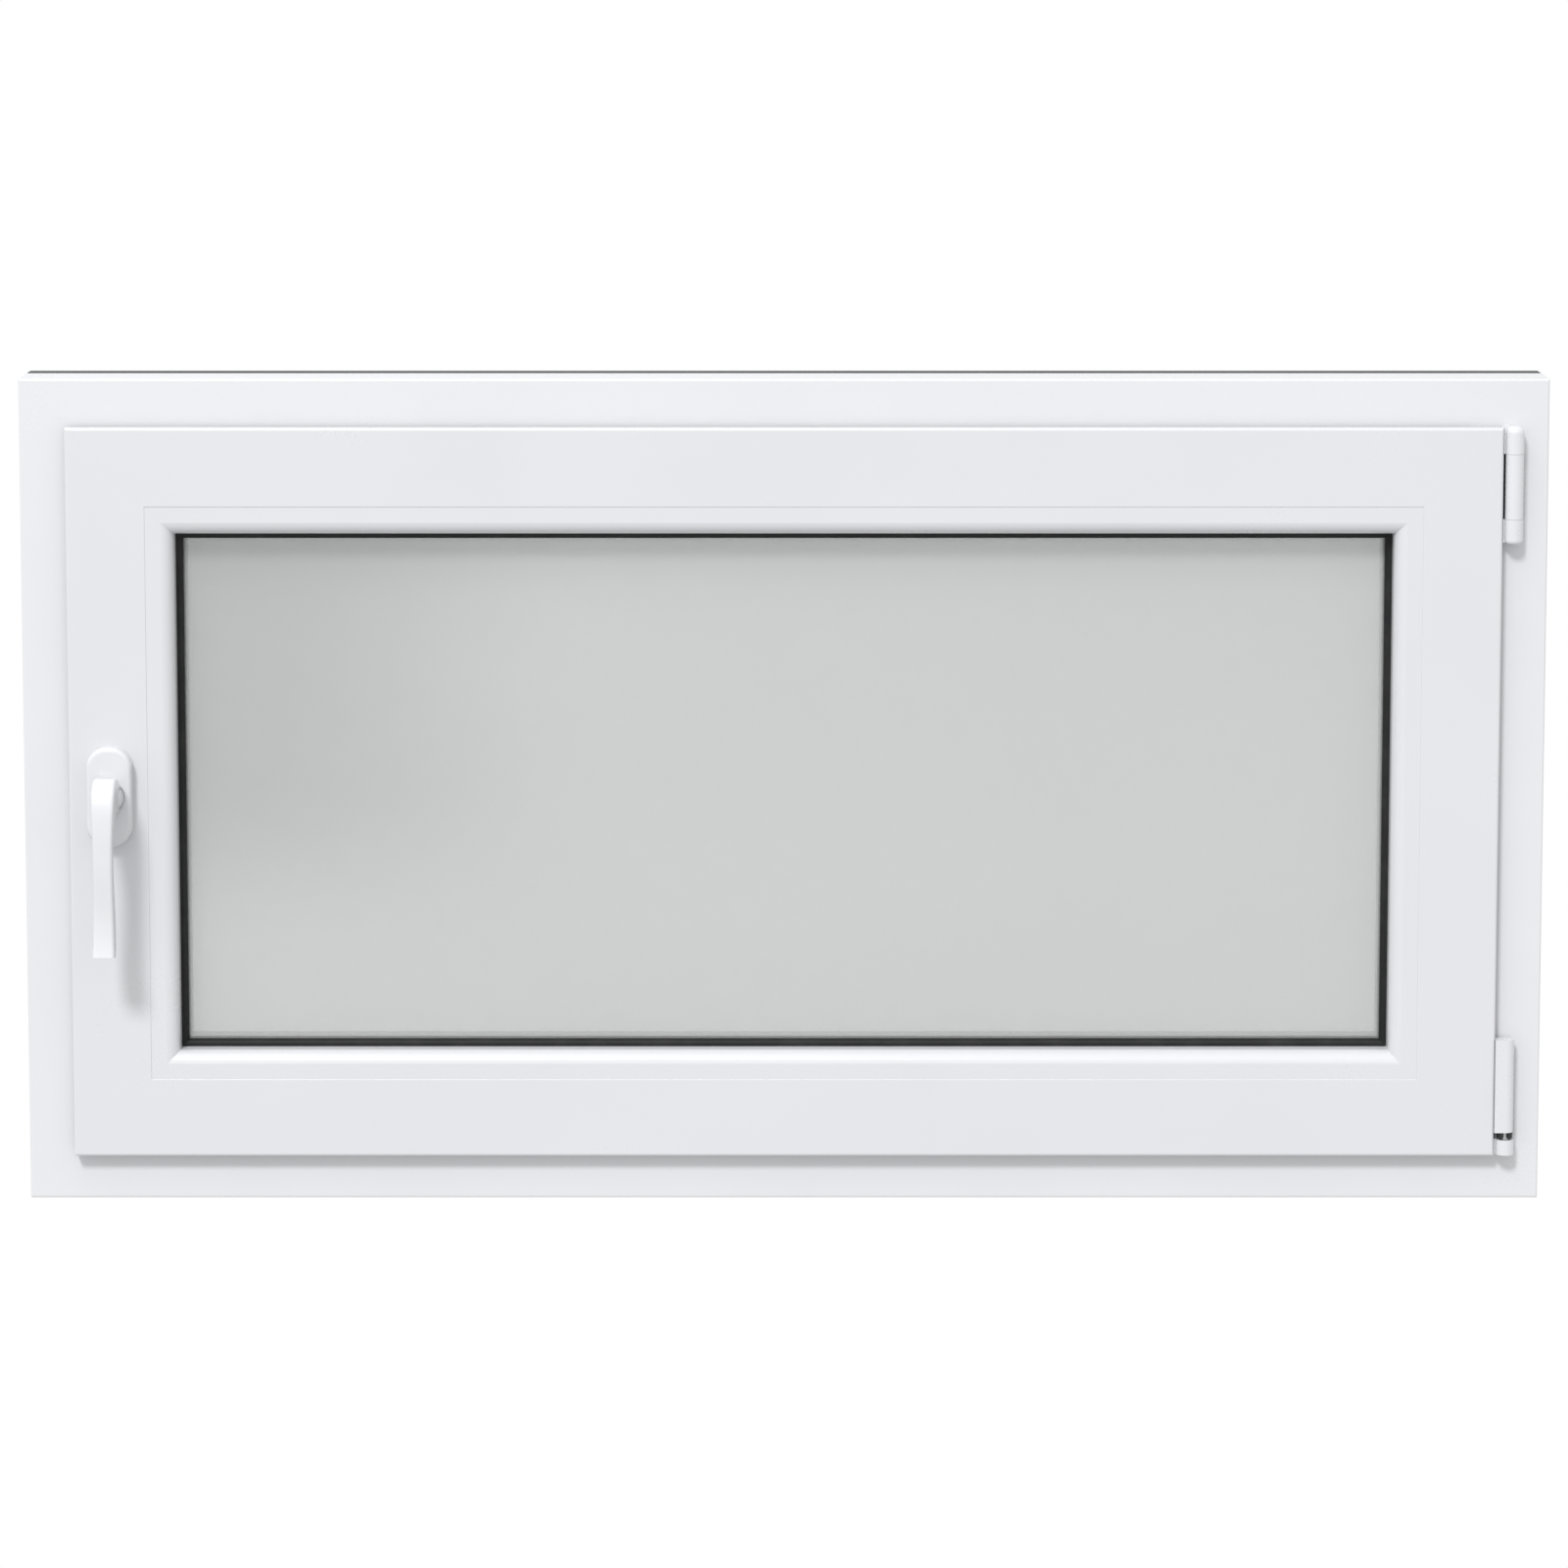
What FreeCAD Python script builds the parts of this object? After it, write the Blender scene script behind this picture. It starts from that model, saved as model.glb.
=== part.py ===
import FreeCAD, Part
import math
import os

# Tilt-and-turn casement window, all sizes in millimetres.
# X runs right, Y runs from the room to the outside, Z runs up.
# The origin is the middle of the frame's bottom face, halfway through its depth.

os.makedirs("parts", exist_ok=True)

V = FreeCAD.Vector

# ---- overall sizes ----
frame_width = 1100.0
frame_height = 600.0
frame_depth = 70.0

# ---- frame section, s is measured inward from the frame's outer edge ----
frame_show = 34.0
flap_lap = 6.0
upstand_reach = 24.0
upstand_thick = 10.3
outer_wall = 3.0
web_wall = 2.5
face_round = 1.5
profile_grooves = (13.0, -4.0, -21.0)

# ---- sash section, s is measured inward from the flap's edge ----
rebate_gap = 12.0
flap_stand = 3.5
flap_thick = 10.3
flat_width = 57.0
bead_width = 20.0
sash_rear = 21.2
lip_thick = 17.0
base_drop = 2.0

# ---- glass unit ----
pane_thick = 4.0
pane_gap = 16.0
glazing_seal_thick = 3.0
glass_edge_gap = 5.0
sealant_width = 10.0
spacer_width = 13.0
gasket_show = 5.0

# ---- hardware groove ----
groove_back = 13.0
faceplate_width = 16.0
faceplate_thick = 2.5
groove_width = 12.0
groove_depth = 11.0
rod_width = 9.6
rod_thick = 2.5
cam_r = 4.0
cam_stand = 6.0
keep_thick = 3.0
keep_length = 60.0
keep_lip_gap = 2.0

# ---- handle and gear ----
backset = 12.0
tooth_module = 1.0
tooth_count = 14
tooth_backlash = 0.12
pressure_angle = math.radians(20.0)
spindle_side = 7.0
rosette_width = 32.6
rosette_length = 72.0
rosette_height = 12.0
screw_spacing = 43.0
lever_drop = 110.0

# ---- hinges ----
hinge_out = 8.2
hinge_forward = 10.0
hinge_edge_gap = 1.5
cap_edge_gap = 0.4
barrel_inset = 0.8
hinge_from_top = 33.0
upper_hinge_length = 85.0
eye_below_top = 20.0
eye_length = 47.0
lower_base_z0 = 35.0
lower_base_z1 = 46.0
lower_barrel_z0 = 51.6
lower_barrel_z1 = 120.0
tilt_z = 41.5
arm_reach = 250.0
arm_thick = 3.0
plate_thick = 2.0

# ---- clearances ----
running = 0.05
loose = 0.3
seal_short = 0.7

# ---- derived positions ----
half_w = frame_width / 2
front = -frame_depth / 2
rear = frame_depth / 2
frame_rise = frame_show + flap_lap
sash_half = half_w - frame_show
sash_low = frame_show
sash_high = frame_height - frame_show
flap_width = flap_lap + rebate_gap
flap_back = front - flap_stand
sash_front = flap_back - flap_thick
lip_s = flat_width + bead_width
base_s = flat_width - base_drop
lip_front = sash_rear - lip_thick
pane_rear = lip_front - glazing_seal_thick
pane_front = pane_rear - 2 * pane_thick - pane_gap
bead_back = pane_front - glazing_seal_thick
rebate_x = sash_half - flap_width
rebate_low = sash_low + flap_width
rebate_high = sash_high - flap_width
groove_y = flap_back + groove_back
hinge_r = hinge_out - hinge_edge_gap
upper_hinge_z1 = frame_height - hinge_from_top
upper_hinge_z0 = upper_hinge_z1 - upper_hinge_length
eye_z1 = upper_hinge_z1 - eye_below_top
eye_z0 = eye_z1 - eye_length
axis_x = sash_half + hinge_out
axis_y = front - hinge_forward
mid_z = frame_height / 2
handle_x = -rebate_x + backset
pitch_r = tooth_module * tooth_count / 2
stroke = math.pi * pitch_r
made = {}


def box(x0, x1, y0, y1, z0, z1):
    return Part.makeBox(x1 - x0, y1 - y0, z1 - z0, V(x0, y0, z0))


def rod_along(axis, r, x, y, z, length):
    return Part.makeCylinder(r, length, V(x, y, z), V(*axis))


def prism(points, sweep):
    wire = Part.makePolygon([V(*p) for p in points] + [V(*points[0])])
    return Part.Face(wire).extrude(V(*sweep))


def save(name, shape):
    made[name] = shape.removeSplitter() if len(shape.Solids) == 1 else shape
    made[name].exportStep(f"parts/{name}.step")


def fillet_where(shape, radius, wanted):
    edges = [e for e in shape.Edges if wanted(e)]
    return shape.makeFillet(radius, edges)


# ---- mitred profile members ----
# Each member is a section swept along one side and cut at 45 degrees at both ends.

def placed(side, s, y, half, low, high):
    if side == "left":
        return (-half + s, y, low)
    if side == "right":
        return (half - s, y, low)
    if side == "bottom":
        return (-half, y, low + s)
    return (-half, y, high - s)


def member(side, section, holes, half, low, high, reach):
    run = (0, 0, high - low) if side in ("left", "right") else (2 * half, 0, 0)
    body = section_prism(side, section, half, low, high, run)
    for hole in holes:
        body = body.cut(section_prism(side, hole, half, low, high, run))
    corner = {
        "left": [(-half, low), (-half, high), (-half + reach, high - reach), (-half + reach, low + reach)],
        "right": [(half, low), (half, high), (half - reach, high - reach), (half - reach, low + reach)],
        "bottom": [(-half, low), (half, low), (half - reach, low + reach), (-half + reach, low + reach)],
        "top": [(-half, high), (half, high), (half - reach, high - reach), (-half + reach, high - reach)],
    }[side]
    span = frame_depth * 2
    wedge = prism([(x, -span / 2, z) for x, z in corner], (0, span, 0))
    return body.common(wedge)


def section_prism(side, section, half, low, high, run):
    edges = []
    for a, b in zip(section, section[1:] + section[:1]):
        start = V(*placed(side, a[0], a[1], half, low, high))
        end = V(*placed(side, b[0], b[1], half, low, high))
        if len(b) > 2:
            through = V(*placed(side, b[2], b[3], half, low, high))
            edges.append(Part.Arc(start, through, end).toShape())
        else:
            edges.append(Part.LineSegment(start, end).toShape())
    return Part.Face(Part.Wire(edges)).extrude(V(*run))


def rect(s0, s1, y0, y1):
    return [(s0, y0), (s1, y0), (s1, y1), (s0, y1)]


def rounded(points, radii):
    # Rounds the listed square corners of a section.
    out = []
    for i, p in enumerate(points):
        if i not in radii:
            out.append(p)
            continue
        corner = V(p[0], p[1])
        before = (V(*points[i - 1]) - corner).normalize()
        after = (V(*points[(i + 1) % len(points)]) - corner).normalize()
        r = radii[i]
        middle = corner + (before + after) * (r * (1 - math.sqrt(0.5)))
        start = corner + before * r
        end = corner + after * r
        out.append((start.x, start.y))
        out.append((end.x, end.y, middle.x, middle.y))
    return out


def loop(section, half, low, high, reach):
    parts = [member(side, section, [], half, low, high, reach) for side in ("left", "right", "bottom", "top")]
    return parts[0].fuse(parts[1:]).removeSplitter()


frame_section = [
    (0, front),
    (frame_rise, front),
    (frame_rise, rear - upstand_thick),
    (frame_rise + upstand_reach, rear - upstand_thick),
    (frame_rise + upstand_reach, rear),
    (0, rear),
]
frame_section = rounded(frame_section, {0: face_round, 1: 1.0, 3: 1.0, 4: face_round, 5: face_round})
for y in profile_grooves:
    frame_section += [(0, y + 0.6), (1.0, y + 0.6), (1.0, y - 0.6), (0, y - 0.6)]
upstand_end = frame_rise + upstand_reach
steel_room = rect(3.5, frame_rise - 3.5, -14.5, 14.5)
frame_holes = [
    rect(outer_wall, frame_rise - outer_wall, front + outer_wall, -14.5 - web_wall),
    steel_room,
    rect(outer_wall, frame_rise - outer_wall, 14.5 + web_wall, rear - outer_wall),
    rect(frame_rise, upstand_end - outer_wall, rear - upstand_thick + outer_wall, rear - outer_wall),
]
frame_reach = upstand_end

recess_y0 = groove_y - faceplate_width / 2
recess_y1 = groove_y + faceplate_width / 2
slot_y0 = groove_y - groove_width / 2
slot_y1 = groove_y + groove_width / 2
recess_s = flap_width + faceplate_thick
groove_s = flap_width + groove_depth
sash_section = [
    (0, sash_front),
    (flat_width, sash_front),
    (flat_width, sash_front + outer_wall),
    (base_s, sash_front + outer_wall),
    (base_s, lip_front),
    (lip_s, lip_front),
    (lip_s, sash_rear),
    (flap_width, sash_rear),
    (flap_width, recess_y1),
    (recess_s, recess_y1),
    (recess_s, slot_y1),
    (groove_s, slot_y1),
    (groove_s, slot_y0),
    (recess_s, slot_y0),
    (recess_s, recess_y0),
    (flap_width, recess_y0),
    (flap_width, flap_back),
    (0, flap_back),
]
sash_section = rounded(sash_section, {0: 2.0, 1: 0.6, 5: 0.6, 6: 2.0, 7: 1.0, 17: 1.0})
sash_steel_s0 = groove_s + 12.5
sash_steel_s1 = base_s - 2.5
sash_holes = [
    rect(outer_wall, sash_steel_s1, sash_front + outer_wall, flap_back - web_wall),
    rect(sash_steel_s0, sash_steel_s1, flap_back, -5.0),
    rect(groove_s + web_wall, sash_steel_s0 - web_wall, flap_back, -15.0),
    rect(flap_width + outer_wall, sash_steel_s0 - web_wall, -12.5, 5.5),
    rect(flap_width + outer_wall, sash_steel_s0 - web_wall, 8.0, sash_rear - outer_wall),
    rect(sash_steel_s0, base_s, -2.5, sash_rear - outer_wall),
    rect(base_s, lip_s - outer_wall, lip_front + outer_wall, sash_rear - outer_wall),
]

# ---- frame members ----
# Each jamb has two anchor holes through its middle chamber.
anchor_r = 3.8
anchor_end = 150.0
anchor_z = (anchor_end, frame_height - anchor_end)
anchor_cuts = {-1: [], 1: []}
for sign in (-1, 1):
    for z in anchor_z:
        x = -half_w - 1 if sign < 0 else half_w - frame_rise - 1
        anchor_cuts[sign].append(rod_along((1, 0, 0), anchor_r, x, 0, z, frame_rise + 2))

# ---- keeps on the frame's rebate face, one for each cam ----
cam_from_middle = 95.0
cam_z = (mid_z - cam_from_middle, mid_z + cam_from_middle)
cam_top_x = (-110.0,)
cam_bottom_x = (-400.0, 60.0)
screw_r = 2.0


def keep_block(length, lip_sign):
    # Local frame: L along the run, P away from the frame's rebate face, y across.
    base = box(-length / 2, length / 2, recess_y0, recess_y1, 0, keep_thick)
    near = cam_r + keep_lip_gap
    far = length / 2
    x0, x1 = (near, far) if lip_sign > 0 else (-far, -near)
    lip = box(x0, x1, recess_y0, recess_y0 + 3.0, keep_thick, keep_thick + 5.0)
    block = base.fuse(lip)
    for x in (-length / 2 + 7, length / 2 - 7):
        block = block.cut(rod_along((0, 0, 1), screw_r, x, groove_y + 2, -1, keep_thick + 2))
    return block.removeSplitter()


def keep_screw_pair(length):
    parts = []
    for x in (-length / 2 + 7, length / 2 - 7):
        shank = rod_along((0, 0, 1), screw_r, x, groove_y + 2, -outer_wall, outer_wall + keep_thick)
        head = rod_along((0, 0, 1), 2 * screw_r - 0.3, x, groove_y + 2, keep_thick, 1.2)
        parts.append(shank.fuse(head))
    return parts


def to_left(shape, z):
    turned = shape.copy()
    turned.rotate(V(0, 0, 0), V(0, 1, 0), 90)
    turned.translate(V(-half_w + frame_rise, 0, z))
    return turned


def to_top(shape, x):
    turned = shape.copy()
    turned = turned.mirror(V(0, 0, 0), V(0, 0, 1))
    turned.translate(V(x, 0, frame_height - frame_rise))
    return turned


def to_bottom(shape, x):
    turned = shape.copy()
    turned.translate(V(x, 0, frame_rise))
    return turned


screws = []
left_keeps = []
for z in cam_z:
    left_keeps.append(to_left(keep_block(keep_length, -1), z))
    screws += [to_left(s, z) for s in keep_screw_pair(keep_length)]
save("keeps_left", Part.makeCompound(left_keeps))
save("keep_top", to_top(keep_block(keep_length, 1), cam_top_x[0]))
screws += [to_top(s, cam_top_x[0]) for s in keep_screw_pair(keep_length)]
for name, x in (("keep_tilt", cam_bottom_x[0]), ("keep_bottom", cam_bottom_x[1])):
    save(name, to_bottom(keep_block(keep_length, -1), x))
    screws += [to_bottom(s, x) for s in keep_screw_pair(keep_length)]

# ---- upper hinge: frame bracket, pin and end covers ----
hinge_pin_r = 3.5


def round_front(x, r, z0, z1, back):
    # A half-round block: a cylinder on the hinge line with straight sides to the frame face.
    body = rod_along((0, 0, 1), r, x, axis_y, z0, z1 - z0)
    return body.fuse(box(x - r, x + r, axis_y, back, z0, z1)).removeSplitter()


bracket_thick = 1.8
knuckle_r = hinge_r - 1.5
bracket_z0 = upper_hinge_z0 + 3.0
bracket_z1 = upper_hinge_z1 - 4.0
bracket = box(axis_x - 2.0, axis_x + knuckle_r, front - bracket_thick, front, bracket_z0, bracket_z1)
for z0, z1 in ((bracket_z0, eye_z0 - 1.0), (eye_z1 + 1.0, bracket_z1)):
    knuckle = round_front(axis_x, knuckle_r, z0, z1, front)
    bracket = bracket.fuse(knuckle)
bracket = bracket.cut(rod_along((0, 0, 1), hinge_pin_r, axis_x, axis_y, upper_hinge_z0, 90))
hinge_screw_z = (eye_z0 + 12, eye_z1 - 12)
hinge_screws = []
for z in hinge_screw_z:
    drill = rod_along((0, 1, 0), screw_r, axis_x + 2.0, front - 5, z, 20)
    bracket = bracket.cut(drill)
    grip = bracket_thick + outer_wall
    hinge_screws.append(rod_along((0, 1, 0), screw_r, axis_x + 2.0, front - bracket_thick, z, grip))
save("upper_hinge_bracket", bracket)
upper_pin = rod_along((0, 0, 1), hinge_pin_r, axis_x, axis_y, bracket_z0, bracket_z1 - bracket_z0)
save("upper_hinge_pin", upper_pin)

cover_wall = 1.3
caps = []
cap_seam = 0.15
cap_spans = ((upper_hinge_z0, eye_z0 - cap_seam, -1, 3.0), (eye_z1 + cap_seam, upper_hinge_z1, 1, 5.0))
for z0, z1, end, nose in cap_spans:
    cap = round_front(axis_x, hinge_r, z0, z1, front)
    inner0 = z0 + 2.5 if end < 0 else z0 - 1
    inner1 = z1 + 1 if end < 0 else z1 - 3.5
    edge_z = z0 if end < 0 else z1
    cap = fillet_where(
        cap, nose, lambda e: all(abs(v.Z - edge_z) < 0.01 and v.Y < front - 1 for v in e.Vertexes)
    )
    cheek0, cheek1 = (z0 + 1, z1) if end < 0 else (z0, z1 - 1)
    cap = cap.fuse(box(sash_half + cap_edge_gap, axis_x, axis_y, front, cheek0, cheek1))
    cap = cap.cut(round_front(axis_x, hinge_r - cover_wall, inner0, inner1, front + 1))
    caps.append(cap.removeSplitter())
save("upper_hinge_covers", Part.makeCompound(caps))

# ---- lower hinge: frame bracket with a blind seat, and its cover ----
seat_r = hinge_r - 3.0
lower_bracket = round_front(axis_x, hinge_r - cover_wall, lower_base_z0 + 0.2, lower_base_z1 - 0.6, front)
lower_bracket = lower_bracket.cut(rod_along((0, 0, 1), seat_r + running, axis_x, axis_y, tilt_z - 5.3, 20))
bracket_screw_x = hinge_r - 3.2
for x in (axis_x - bracket_screw_x, axis_x + bracket_screw_x):
    z = lower_base_z0 + 4
    hinge_screws.append(rod_along((0, 1, 0), 1.6, x, front - 3.0, z, 3.0 + outer_wall))
    lower_bracket = lower_bracket.cut(rod_along((0, 1, 0), 1.6, x, front - 3.0, z, 10))
save("lower_hinge_bracket", lower_bracket)
lower_cover = round_front(axis_x, hinge_r, lower_base_z0, lower_base_z1, front)
cheek_x0 = sash_half + cap_edge_gap
lower_cover = lower_cover.fuse(box(cheek_x0, axis_x, axis_y, front, lower_base_z0, lower_base_z1))
lower_room = round_front(axis_x, hinge_r - cover_wall, lower_base_z0 - 1, lower_base_z1 - 0.6, front + 1)
lower_cover = lower_cover.cut(lower_room)
lower_cover = lower_cover.cut(rod_along((0, 0, 1), seat_r + 0.3, axis_x, axis_y, lower_base_z0, 20))
save("lower_hinge_cover", lower_cover)
save("frame_screws", Part.makeCompound(screws + hinge_screws))

# ---- the frame's four members, steel cores, outer seal and drain caps ----
fixings = Part.makeCompound(screws + hinge_screws)
weep_x = (-350.0, 350.0)
for name, side in (
    ("frame_sill", "bottom"),
    ("frame_head", "top"),
    ("frame_jamb_left", "left"),
    ("frame_jamb_right", "right"),
):
    body = member(side, frame_section, frame_holes, half_w, 0, frame_height, frame_reach)
    body = body.cut(fixings)
    for cutter in anchor_cuts.get({"left": -1, "right": 1}.get(side), []):
        body = body.cut(cutter)
    if side == "bottom":
        for x in weep_x:
            body = body.cut(box(x - 14, x + 14, rear - outer_wall - 1, rear + 1, 8, 13))
    save(name, body)

steel_wall = 1.5
steel_end = frame_rise + 25
head_low = frame_height - frame_rise
frame_steel_rooms = {
    "frame_steel_sill": (-half_w + steel_end, half_w - steel_end, 4.0, frame_rise - 4.0),
    "frame_steel_head": (-half_w + steel_end, half_w - steel_end, head_low + 4, frame_height - 4),
    "frame_steel_left": (-half_w + 4, -half_w + frame_rise - 4, steel_end, frame_height - steel_end),
    "frame_steel_right": (half_w - frame_rise + 4, half_w - 4, steel_end, frame_height - steel_end),
}


def tube(x0, x1, y0, y1, z0, z1, wall):
    outer = box(x0, x1, y0, y1, z0, z1)
    if x1 - x0 > z1 - z0:
        return outer.cut(box(x0 - 1, x1 + 1, y0 + wall, y1 - wall, z0 + wall, z1 - wall))
    return outer.cut(box(x0 + wall, x1 - wall, y0 + wall, y1 - wall, z0 - 1, z1 + 1))


for name, (x0, x1, z0, z1) in frame_steel_rooms.items():
    core = tube(x0, x1, -14.0, 14.0, z0, z1, steel_wall)
    for cutter in anchor_cuts[-1] + anchor_cuts[1]:
        core = core.cut(cutter)
    save(name, core)

seal_s = frame_reach - 7.0
frame_seal_section = [
    (seal_s, rear - upstand_thick),
    (seal_s + 1.2, sash_rear + seal_short),
    (seal_s + 3.0, sash_rear + seal_short),
    (seal_s + 5.0, rear - upstand_thick),
]
save("frame_seal", loop(frame_seal_section, half_w, 0, frame_height, frame_reach))

drains = []
for x in weep_x:
    plate = box(x - 19, x + 19, rear, rear + 3.0, 5, 16)
    plate = fillet_where(
        plate, 1.5, lambda e: abs(e.BoundBox.YMax - rear - 3.0) < 0.01 and e.BoundBox.YLength < 0.01
    )
    plug = box(x - 14, x + 14, rear - outer_wall, rear, 8, 13)
    slot = box(x - 11, x + 11, rear - outer_wall - 1, rear + 1.2, 9.2, 11.8)
    mouth = box(x - 11, x + 11, rear - 1, rear + 1.2, 4, 11.8)
    drains.append(plate.fuse(plug).cut(slot).cut(mouth).removeSplitter())
save("drain_caps", Part.makeCompound(drains))

# ---- sash members ----
case_u = backset + 8.5
case_z0 = mid_z - 48
case_z1 = mid_z + 48
case_y0 = recess_y0 + 0.5
case_y1 = recess_y1 - 0.5
spindle_room = spindle_side / math.sqrt(2) + 0.25
pocket = box(-rebate_x, -rebate_x + case_u, case_y0, case_y1, case_z0, case_z1)
spindle_hole = rod_along((0, 1, 0), 6.0, handle_x, sash_front - 1, mid_z, 30)
handle_screw_r = 2.5
screw_marks = [mid_z - screw_spacing / 2, mid_z + screw_spacing / 2]
for name, side in (
    ("sash_bottom", "bottom"),
    ("sash_top", "top"),
    ("sash_left", "left"),
    ("sash_right", "right"),
):
    body = member(side, sash_section, sash_holes, sash_half, sash_low, sash_high, lip_s)
    if side == "left":
        body = body.cut(pocket).cut(spindle_hole)
        for z in screw_marks:
            body = body.cut(rod_along((0, 1, 0), handle_screw_r, handle_x, sash_front - 1, z, 22))
    save(name, body)

core0 = sash_steel_s0 + 0.4
core1 = sash_steel_s1 - 0.4
sash_end = lip_s + 12
for name, (x0, x1, z0, z1) in {
    "sash_steel_bottom": (-sash_half + sash_end, sash_half - sash_end, sash_low + core0, sash_low + core1),
    "sash_steel_top": (-sash_half + sash_end, sash_half - sash_end, sash_high - core1, sash_high - core0),
    "sash_steel_left": (-sash_half + core0, -sash_half + core1, sash_low + sash_end, sash_high - sash_end),
    "sash_steel_right": (sash_half - core1, sash_half - core0, sash_low + sash_end, sash_high - sash_end),
}.items():
    save(name, tube(x0, x1, flap_back + 0.4, -5.4, z0, z1, steel_wall))

# ---- overlap seal on the back of the sash flap, left out where the two hinge straps pass ----
strap_z0 = 56.0
strap_z1 = 116.0
overlap_seal = loop(
    [
        (flap_lap - 5.5, flap_back),
        (flap_lap - 2.4, front - seal_short),
        (flap_lap - 0.6, front - seal_short),
        (flap_lap + 1.5, flap_back),
    ],
    sash_half,
    sash_low,
    sash_high,
    lip_s,
)
for z0, z1 in ((strap_z0 - 2, strap_z1 + 2), (eye_z0 - 2, frame_height)):
    overlap_seal = overlap_seal.cut(box(rebate_x - 5, sash_half + 1, flap_back - 1, front, z0, z1))
save("sash_seal", overlap_seal)

# ---- glass unit ----
glass_s = base_s + glass_edge_gap


def glass_plate(s, y0, y1):
    return box(-sash_half + s, sash_half - s, y0, y1, sash_low + s, sash_high - s)


save("glass_inner", glass_plate(glass_s, pane_front, pane_front + pane_thick))
save("glass_outer", glass_plate(glass_s, pane_rear - pane_thick, pane_rear))
gap0 = pane_front + pane_thick
gap1 = pane_rear - pane_thick
ring = glass_plate(glass_s, gap0, gap1).cut(glass_plate(glass_s + sealant_width, gap0 - 1, gap1 + 1))
save("edge_sealant", ring)
spacer_s = glass_s + sealant_width
ring = glass_plate(spacer_s, gap0, gap1).cut(glass_plate(spacer_s + spacer_width, gap0 - 1, gap1 + 1))
save("spacer_bar", ring)
blocks = []
for x in (-sash_half + glass_s + 60, sash_half - glass_s - 60):
    blocks.append(box(x - 50, x + 50, pane_front, pane_rear, sash_low + base_s, sash_low + glass_s))
    blocks.append(box(x - 50, x + 50, pane_front, pane_rear, sash_high - glass_s, sash_high - base_s))
for z in (sash_low + glass_s + 70, sash_high - glass_s - 70):
    blocks.append(box(-sash_half + base_s, -sash_half + glass_s, pane_front, pane_rear, z - 50, z + 50))
    blocks.append(box(sash_half - glass_s, sash_half - base_s, pane_front, pane_rear, z - 50, z + 50))
save("glazing_blocks", Part.makeCompound(blocks))

# ---- glazing seals and beads ----
show_s = lip_s + gasket_show
inner_seal_section = [
    (glass_s + 2, bead_back),
    (lip_s, bead_back),
    (lip_s, bead_back - 2.2),
    (lip_s + 2.6, bead_back - 2.2),
    (show_s, pane_front, show_s - 0.7, bead_back - 0.6),
    (glass_s + 2, pane_front),
]
save("glazing_seal_inner", loop(inner_seal_section, sash_half, sash_low, sash_high, show_s + 2))
outer_seal_section = rect(glass_s + 2, show_s - 1.0, pane_rear, lip_front)
save("glazing_seal_outer", loop(outer_seal_section, sash_half, sash_low, sash_high, show_s + 2))
bead_front = sash_front + 0.4
bead_section = [
    (flat_width, bead_front),
    (flat_width + 11.4, bead_front),
    (lip_s, bead_front + 11.5, lip_s - 2.4, bead_front + 3.4),
    (lip_s, bead_back),
    (base_s, bead_back),
    (base_s, sash_front + outer_wall),
    (flat_width, sash_front + outer_wall),
]
bead_hole = [
    (base_s + 2.2, sash_front + outer_wall + 2.2),
    (lip_s - 6.0, sash_front + outer_wall + 2.2),
    (lip_s - 2.6, bead_front + 13.0),
    (lip_s - 2.6, bead_back - 2.2),
    (base_s + 2.2, bead_back - 2.2),
]
for side in ("bottom", "top", "left", "right"):
    save(f"bead_{side}", member(side, bead_section, [bead_hole], sash_half, sash_low, sash_high, lip_s + 5))

# ---- lower hinge, sash side: pin with a cross-bored tongue, strap and barrel cover ----
pin_seat_wall = 0.7
pin_r = seat_r - pin_seat_wall
tongue = 2.4
cross_r = 1.2
lower_pin = rod_along((0, 0, 1), pin_r, axis_x, axis_y, lower_base_z1 + 0.3, 62)
tongue_half = tongue / 2
tongue_y = pin_r - 0.1
tongue_z0 = tilt_z - 3.0
tongue_z1 = lower_base_z1 + 1
tongue_x0 = axis_x - tongue_half
tongue_x1 = axis_x + tongue_half
tongue_part = box(tongue_x0, tongue_x1, axis_y - tongue_y, axis_y + tongue_y, tongue_z0, tongue_z1)
lower_pin = lower_pin.fuse(tongue_part)
lower_pin = lower_pin.cut(rod_along((1, 0, 0), cross_r + running, axis_x - 5, axis_y, tilt_z, 10))
save("lower_hinge_pin", lower_pin)

plate_y0 = flap_back + 0.6
plate_y1 = plate_y0 + plate_thick
strap = box(rebate_x + 0.0, rebate_x + 2.5, plate_y0, -10.0, strap_z0, strap_z1)
strap = strap.fuse(box(rebate_x, axis_x - 3.0, plate_y0, plate_y1, strap_z0, strap_z1))
strap = strap.fuse(box(sash_half + 0.6, axis_x - 3.0, axis_y + 5.0, plate_y1, strap_z0, strap_z1))
barrel_r = hinge_r - barrel_inset
strap_knuckle_r = knuckle_r - 0.4
strap = strap.fuse(rod_along((0, 0, 1), strap_knuckle_r, axis_x, axis_y, lower_barrel_z0 + 2, 60))
strap = strap.cut(rod_along((0, 0, 1), pin_r, axis_x, axis_y, lower_barrel_z0, 100))
save("lower_hinge_strap", strap)
barrel = rod_along((0, 0, 1), barrel_r, axis_x, axis_y, lower_barrel_z0, lower_barrel_z1 - lower_barrel_z0)
barrel = barrel.fuse(
    box(sash_half + 0.1, axis_x, axis_y - barrel_r, axis_y + 4.9, lower_barrel_z0, lower_barrel_z1)
)
barrel = barrel.removeSplitter()
hollow = rod_along((0, 0, 1), strap_knuckle_r, axis_x, axis_y, lower_barrel_z0 + 2, 64)
hollow = hollow.fuse(rod_along((0, 0, 1), pin_r + 0.2, axis_x, axis_y, lower_barrel_z0 - 1, 20))
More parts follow.
